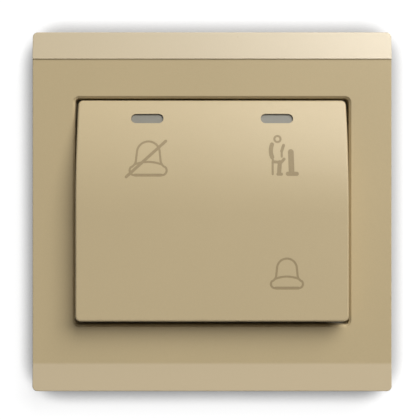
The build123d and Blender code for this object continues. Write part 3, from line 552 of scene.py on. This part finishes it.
def carve(piece, cutters):
    """Takes the cutters' shapes out of a piece."""
    for cutter in cutters:
        cut = piece.modifiers.new(cutter.name, "BOOLEAN")
        cut.operation = "DIFFERENCE"
        cut.solver = "MANIFOLD"
        cut.object = cutter
    seen = piece.evaluated_get(bpy.context.evaluated_depsgraph_get())
    piece.data = bpy.data.meshes.new_from_object(seen)
    piece.modifiers.clear()
    for cutter in cutters:
        bpy.data.objects.remove(cutter)


def carve_recesses(piece, places, head_y, toward, size):
    """Cuts a cross or a slot into the head of each screw."""
    kind = "cross" if "cross" in size else "slot"
    length, width, depth = (value * mm for value in size[kind])
    cutters = [recess(f"{piece.name}_along", places, head_y, toward, length, width, depth)]
    if kind == "cross":
        cutters.append(recess(f"{piece.name}_across", places, head_y, toward, width, length, depth))
    carve(piece, cutters)


def screw_set(node, places, head_y, tip_y):
    """Threaded screws in place of the plain ones of a CAD node."""
    size = screw_sizes[node]
    shape = bmesh.new()
    for place in places:
        add_screw(shape, place, head_y, tip_y, size)
    bmesh.ops.recalc_face_normals(shape, faces=shape.faces)
    mesh = bpy.data.meshes.new(node)
    shape.to_mesh(mesh)
    shape.free()
    piece = new_piece(f"{node}_threaded", mesh, node)
    toward = 1 if tip_y > head_y else -1
    carve_recesses(piece, places, head_y, toward, size)
    piece.data.shade_smooth()
    piece.data.set_sharp_from_angle(angle=radians(sharp_edge_deg))
    piece.data.materials.clear()
    piece.data.materials.append(bpy.data.materials["plated_steel"])
    for face in piece.data.polygons:
        face.material_index = 0
    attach(piece, "housing")


def screws():
    """All the screws that show from outside."""
    low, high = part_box("fixing_screws")
    reach = high.x - screw_sizes["fixing_screws"]["head"][0] * mm
    screw_set("fixing_screws", [(-reach, 0), (reach, 0)], low.y, high.y)
    low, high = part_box("housing_screws")
    inset = screw_sizes["housing_screws"]["head"][0] * mm
    across = (low.x + inset, high.x - inset)
    corners = [(x, z) for x in across for z in (low.z + inset, high.z - inset)]
    screw_set("housing_screws", corners, high.y, low.y)
    low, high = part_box("terminal_screws")
    over_terminals = []
    for terminal in ("lamp_left", "lamp_common", "lamp_right", "bell_common", "bell_out"):
        block_low, block_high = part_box(f"terminal_{terminal}")
        middle = (block_low + block_high) / 2
        over_terminals.append((middle.x, middle.z))
    screw_set("terminal_screws", over_terminals, high.y, low.y)


def joint_called(name):
    """A joint of the frame."""
    return next(joint for joint in frame["joints"] if joint["name"] == name)


def reshaped(node, suffix):
    """A piece with the shape of a CAD node, which can then change its shape as a rigid node can't."""
    return new_piece(f"{node}_{suffix}", nodes[node].data.copy(), node)


def springs():
    """Coil springs between the housing and the carrier, each a piece of its own that rides with the
    housing.
    """
    for node in ("return_spring_left", "return_spring_right"):
        coil = reshaped(node, "coil")
        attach(coil, "housing")
        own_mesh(coil)


def contact_blade():
    """The bronze blade, cut across at even steps from where it leaves its rivet towards the tip that closes
    the contact.
    """
    fold = Vector(joint_called("contact_close")["pos_m"])
    blade = reshaped("contact_leaf", "blade")
    shape = bmesh.new()
    shape.from_mesh(blade.data)
    for cut in range(1, blade_cuts):
        place = fold + Vector((blade_bend * cut / blade_cuts, 0, 0))
        everything = shape.verts[:] + shape.edges[:] + shape.faces[:]
        bmesh.ops.bisect_plane(shape, geom=everything, plane_co=place, plane_no=(1, 0, 0))
    shape.to_mesh(blade.data)
    shape.free()
    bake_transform(blade)


def direction(azimuth, elevation):
    """A unit vector from the object: azimuth 0 is the front and 90 the right."""
    a = radians(azimuth)
    e = radians(elevation)
    return Vector((sin(a) * cos(e), -cos(a) * cos(e), sin(e)))


def panel(name, toward, distance, size, power):
    """A square soft light aimed at the object."""
    lamp = bpy.data.lights.new(name, "AREA")
    lamp.size = size
    lamp.energy = power
    holder = bpy.data.objects.new(name, lamp)
    holder.location = direction(*toward) * distance
    holder.rotation_euler = (-direction(*toward)).to_track_quat("-Z", "Y").to_euler()
    scene.collection.objects.link(holder)


def seen_directly(tree):
    """A value of 1 for rays from the camera, mirror rays and rays through clear pieces."""
    path = tree.nodes.new("ShaderNodeLightPath")
    seen = path.outputs["Is Camera Ray"]
    for ray in ("Is Glossy Ray", "Is Transmission Ray"):
        either = tree.nodes.new("ShaderNodeMath")
        either.operation = "MAXIMUM"
        tree.links.new(seen, either.inputs[0])
        tree.links.new(path.outputs[ray], either.inputs[1])
        seen = either.outputs[0]
    return seen


def wall_white():
    """White paint that glows where it is seen, less so near the plate as a painted contact shadow, and is
    clear from behind.
    """
    shader = Shader("wall_white")
    plaster = shader.noise(plaster_size, 4.0)
    shader.feed("Base Color", shader.tint(plaster, wall_paint, 0.99, 1.01))
    shader.set("Roughness", 0.9)
    shader.set("Specular IOR Level", 0.0)
    # Painted shade: the glow dims with occlusion near the plate
    open_sky = shader.node("ShaderNodeAmbientOcclusion", samples=contact_shadow_samples)
    open_sky.inputs["Distance"].default_value = contact_shadow_reach
    darkest = wall_glow * contact_shadow_level
    glow = shader.spread(open_sky.outputs["AO"], darkest, wall_glow, *contact_shadow_span)
    white = shader.node("ShaderNodeEmission")
    shader.link(shader.product(seen_directly(shader.tree), glow), white.inputs["Strength"])
    glowing = shader.node("ShaderNodeAddShader")
    shader.link(shader.surface.outputs[0], glowing.inputs[0])
    shader.link(white.outputs[0], glowing.inputs[1])
    from_behind = shader.node("ShaderNodeNewGeometry").outputs["Backfacing"]
    clear = shader.node("ShaderNodeBsdfTransparent")
    one_sided = shader.node("ShaderNodeMixShader")
    shader.link(from_behind, one_sided.inputs[0])
    shader.link(glowing.outputs[0], one_sided.inputs[1])
    shader.link(clear.outputs[0], one_sided.inputs[2])
    shader.link(one_sided.outputs[0], shader.tree.nodes["Material Output"].inputs["Surface"])
    return shader.material


def square(half):
    """Corners of a square in the wall's face, anticlockwise as seen from the room."""
    return [(-half, 0, -half), (half, 0, -half), (half, 0, half), (-half, 0, half)]


def wall():
    """The white wall that the plate is on, open where the plate hides it."""
    mesh = bpy.data.meshes.new("wall")
    sides = [(n, (n + 1) % 4, (n + 1) % 4 + 4, n + 4) for n in range(4)]
    mesh.from_pydata(square(wall_half) + square(wall_box_half), [], sides)
    mesh.materials.append(wall_white())
    plane = bpy.data.objects.new("wall", mesh)
    scene.collection.objects.link(plane)


def surroundings():
    """A pale room, dimmer in the light that it throws than where it is seen."""
    world = bpy.data.worlds.new("room")
    scene.world = world
    world.use_nodes = True
    tree = world.node_tree
    ground = tree.nodes["Background"]
    ground.inputs["Color"].default_value = (1.0, 1.0, 1.0, 1.0)
    level = tree.nodes.new("ShaderNodeMapRange")
    level.inputs["To Min"].default_value = ambient_level
    level.inputs["To Max"].default_value = backdrop_level
    tree.links.new(seen_directly(tree), level.inputs["Value"])
    tree.links.new(level.outputs["Result"], ground.inputs["Strength"])


def camera():
    """The photograph's straight front view, shifted as far as the plate sits off the image's centre."""
    view = bpy.data.cameras.new("camera")
    view.lens = camera_lens
    view.sensor_width = sensor_width
    view.clip_start = nearest_seen
    half = image_width / 2
    view.shift_x = -(plate_centre_px[0] - half) / image_width
    view.shift_y = (plate_centre_px[1] - half) / image_width
    holder = bpy.data.objects.new("camera", view)
    holder.location = (0, -camera_distance, 0)
    holder.rotation_euler = (radians(90), 0, 0)
    scene.collection.objects.link(holder)
    scene.camera = holder


dress_everything()
screws()
springs()
contact_blade()
wall()
surroundings()
panel("key_light", key_direction, key_distance, key_size, key_power)
panel("fill_light", fill_direction, fill_distance, fill_size, fill_power)
for number, toward in enumerate(rear_directions):
    panel(f"rear_light_{number}", toward, rear_distance, rear_size, rear_power)
camera()
scene.view_settings.view_transform = "Standard"
